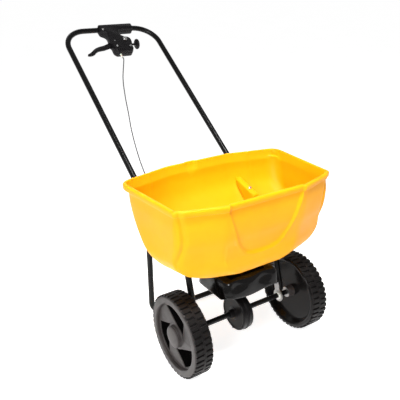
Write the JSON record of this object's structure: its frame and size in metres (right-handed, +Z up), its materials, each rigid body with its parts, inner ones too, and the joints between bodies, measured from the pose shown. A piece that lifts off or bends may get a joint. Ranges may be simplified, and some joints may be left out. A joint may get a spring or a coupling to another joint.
{
  "type": "broadcast spreader",
  "caption": "Walk-behind garden spreader: open hopper over a shrouded spinning disc, spoked wheels on an axle, bent-tube handle with a squeeze trigger, U-shaped stand.",
  "frame": {"origin": "on the ground, under the middle of the bounding box", "axes": "+Z up; +Y towards the handle bar, so the front of the hopper faces -Y; +X to the right seen from the front"},
  "size_m": [0.5758, 1.0056, 0.9147],
  "materials": {
    "hopper_plastic": "glossy moulded polyethylene",
    "black_plastic": "satin moulded",
    "gloss_black_plastic": "high gloss",
    "control_plastic": "fine texture",
    "wheel_plastic": "satin moulded",
    "black_steel": "powder coated, semi gloss",
    "zinc_steel": "zinc plated",
    "nylon": "natural",
    "cable_jacket": "smooth"
  },
  "bodies": {
    "frame": {"hopper": "hopper_plastic", "hopper_screw": "zinc_steel", "outlet_plate": "black_plastic", "floor_screw_left": "zinc_steel", "floor_screw_right": "zinc_steel", "gate_guide_left": "black_plastic", "gate_guide_right": "black_plastic", "cable_bracket": "black_steel", "impeller_shroud": "gloss_black_plastic", "hopper_arm_left": "black_steel", "hopper_arm_right": "black_steel", "arm_bolt_left": "zinc_steel", "arm_bolt_right": "zinc_steel", "frame_tube_left": "black_steel", "frame_tube_right": "black_steel", "handle_tube": "black_steel", "rear_stand": "black_steel", "handle_bolt_low_left": "zinc_steel", "handle_bolt_low_right": "zinc_steel", "handle_bolt_high_left": "zinc_steel", "handle_bolt_high_right": "zinc_steel", "stand_bolt_left": "zinc_steel", "stand_bolt_right": "zinc_steel", "axle_flange_left": "zinc_steel", "axle_flange_right": "zinc_steel", "flange_bolt_left": "zinc_steel", "flange_bolt_right": "zinc_steel", "axle_bush_left": "nylon", "axle_bush_right": "nylon", "wheel_washer_left": "zinc_steel", "wheel_washer_right": "zinc_steel", "gearbox_cover": "black_plastic", "gearbox_housing": "black_plastic", "shaft_bush_lower": "nylon", "shaft_bush_upper": "nylon", "control_housing_top": "control_plastic", "control_housing_base": "control_plastic", "control_screw_1": "zinc_steel", "control_screw_2": "zinc_steel", "control_screw_3": "zinc_steel", "clamp_cap_nut": "zinc_steel", "trigger_pin": "zinc_steel", "trigger_spring": "zinc_steel", "cable_ferrule_upper": "nylon", "control_cable": "cable_jacket"},
    "drive_axle": {"axle": "black_steel", "wheel_left": "wheel_plastic", "hub_cap_left": "wheel_plastic", "crown_gear": "nylon"},
    "free_wheel": {"wheel_right": "wheel_plastic", "hub_cap_right": "wheel_plastic"},
    "impeller": {"impeller_shaft": "zinc_steel", "pinion_gear": "nylon", "impeller": "black_plastic", "agitator": "black_plastic"},
    "trigger": {"trigger_lever": "control_plastic"},
    "gate": {"shutoff_gate": "zinc_steel"},
    "knob": {"adjuster_knob": "control_plastic"}
  },
  "joints": [
    {"name": "axle_spin", "type": "hinge", "parent": "frame", "child": "drive_axle", "pos_m": [0, -0.37777, 0.125], "axis": [1, 0, 0], "continuous": true},
    {"name": "right_wheel_spin", "type": "hinge", "parent": "drive_axle", "child": "free_wheel", "pos_m": [0, -0.37777, 0.125], "axis": [1, 0, 0], "continuous": true},
    {"name": "impeller_spin", "type": "hinge", "parent": "frame", "child": "impeller", "pos_m": [0, -0.37777, 0], "axis": [0, 0, 1], "continuous": true},
    {"name": "trigger_squeeze", "type": "hinge", "parent": "frame", "child": "trigger", "pos_m": [-0.008, 0.41937, 0.84712], "axis": [0, 0.592, -0.8059], "range_deg": [0, 24], "stiffness_Nm_per_rad": 0.4, "springref_deg": -28.65},
    {"name": "gate_slide", "type": "slide", "parent": "frame", "child": "gate", "axis": [0, 1, 0], "range_m": [0, 0.022]},
    {"name": "knob_turn", "type": "hinge", "parent": "frame", "child": "knob", "pos_m": [0.075, 0.41211, 0.84179], "axis": [1, 0, 0], "range_deg": [0, 360]}
  ],
  "couplings": [
    {"joint": "impeller_spin", "follows": "axle_spin", "ratio": 4},
    {"joint": "gate_slide", "follows": "trigger_squeeze", "m_per_rad": 0.05252}
  ]
}
